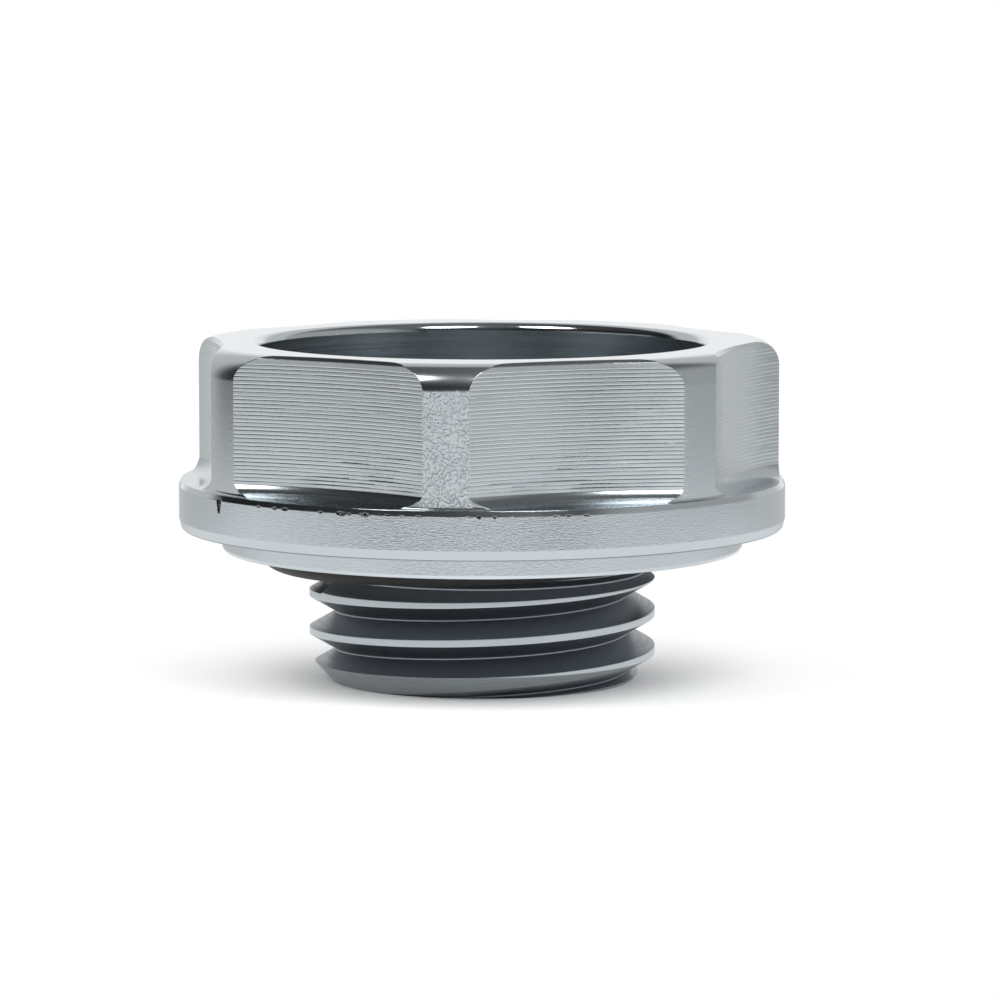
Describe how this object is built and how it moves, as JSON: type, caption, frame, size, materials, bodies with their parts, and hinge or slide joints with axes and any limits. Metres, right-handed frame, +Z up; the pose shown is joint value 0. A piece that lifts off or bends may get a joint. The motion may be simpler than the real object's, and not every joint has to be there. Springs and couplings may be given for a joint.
{
  "type": "oil filler cap",
  "caption": "Screw-in oil filler cap: dished aluminium head with milled finger scallops, a flange, a stepped seat with a rubber sealing ring and a coarse screw thread.",
  "frame": {"origin": "centre of the thread's end face, on the cap's axis, where it stands", "axes": "+Z up along the screw axis towards the dished head; -Y is the side that the picture shows"},
  "size_m": [0.056, 0.056, 0.0314],
  "materials": {
    "anodised_aluminium": "grey anodised, milled and turned",
    "seal_rubber": "matt black"
  },
  "bodies": {
    "root": {"cap_body": "anodised_aluminium", "o_ring": "seal_rubber"}
  },
  "joints": []
}
